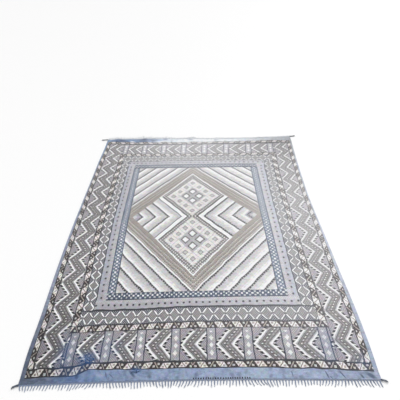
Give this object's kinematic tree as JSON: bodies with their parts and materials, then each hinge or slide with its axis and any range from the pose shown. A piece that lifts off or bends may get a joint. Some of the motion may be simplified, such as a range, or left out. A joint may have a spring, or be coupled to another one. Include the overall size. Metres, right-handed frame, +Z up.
{
  "type": "flatweave rug",
  "caption": "Rectangular wool flatweave rug with a geometric brocaded pattern, plain woven ends and short fringes, lying flat on the floor.",
  "frame": {"origin": "on the floor under the middle of the whole rug, fringes and corner locks included", "axes": "+X across the rug to the right, +Y along it from the near end to the far end, +Z up out of the patterned face"},
  "size_m": [2.125, 3.1553, 0.0156],
  "materials": {
    "woven_wool": "matt hand-woven wool in greys, off-white, navy and blue",
    "fringe_wool": "matt twisted wool yarn, blue-grey"
  },
  "bodies": {
    "root": {"rug_cloth": "woven_wool", "fringe_near": "fringe_wool", "fringe_far": "fringe_wool"}
  },
  "joints": []
}
